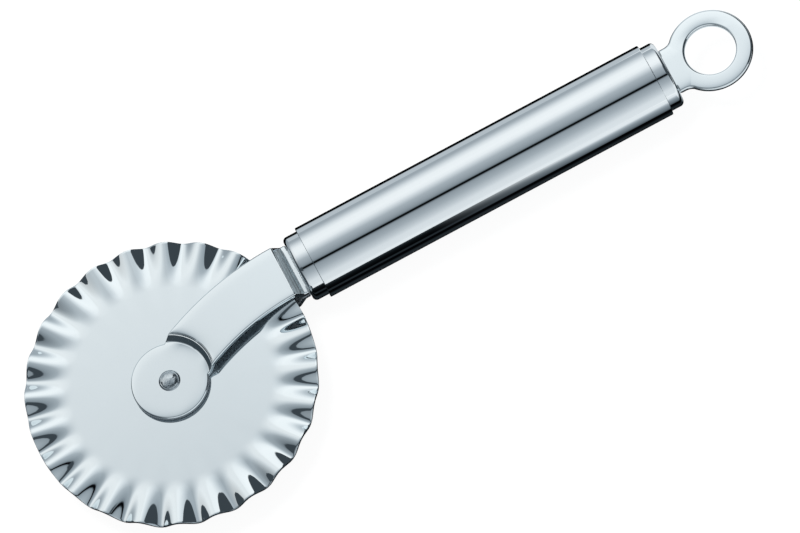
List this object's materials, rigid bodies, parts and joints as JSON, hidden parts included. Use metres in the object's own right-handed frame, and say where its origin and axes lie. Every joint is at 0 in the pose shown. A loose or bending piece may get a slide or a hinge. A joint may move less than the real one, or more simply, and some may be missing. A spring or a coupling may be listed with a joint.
{
  "type": "fluted pastry wheel",
  "caption": "Hand tool for cutting and crimping dough: a polished wheel with a fluted rim turns on a riveted stamped fork, on a round tube handle with a flat hanging loop.",
  "frame": {"origin": "centre of the bounding box's base: the tool lies flat with its tube on z = 0", "axes": "+X along the handle from the wheel to the hanging loop, +Z along the wheel's axle, +Y from the wheel's centre towards the handle's axis"},
  "size_m": [0.191, 0.069, 0.018],
  "materials": {
    "mirror_steel": "mirror-polished stainless steel",
    "polished_steel": "polished stainless steel",
    "satin_steel": "satin stainless steel, with a fine grain round the tube",
    "rivet_steel": "plain stainless steel, with a hammered head",
    "washer_plastic": "thin slippery plastic"
  },
  "bodies": {
    "handle": {"front_fork_arm": "polished_steel", "rear_fork_arm": "polished_steel", "front_cap": "satin_steel", "front_cross_pin": "rivet_steel", "handle_tube": "satin_steel", "rear_cap": "satin_steel", "rear_cross_pin": "rivet_steel", "hanging_loop": "polished_steel", "axle_rivet": "rivet_steel", "spacer_bush": "rivet_steel", "front_washer": "washer_plastic", "rear_washer": "washer_plastic"},
    "wheel": {"fluted_wheel": "mirror_steel"}
  },
  "joints": [
    {"name": "wheel_spin", "type": "hinge", "parent": "handle", "child": "wheel", "pos_m": [-0.061, 0, 0.009], "axis": [0, 0, 1], "continuous": true}
  ]
}
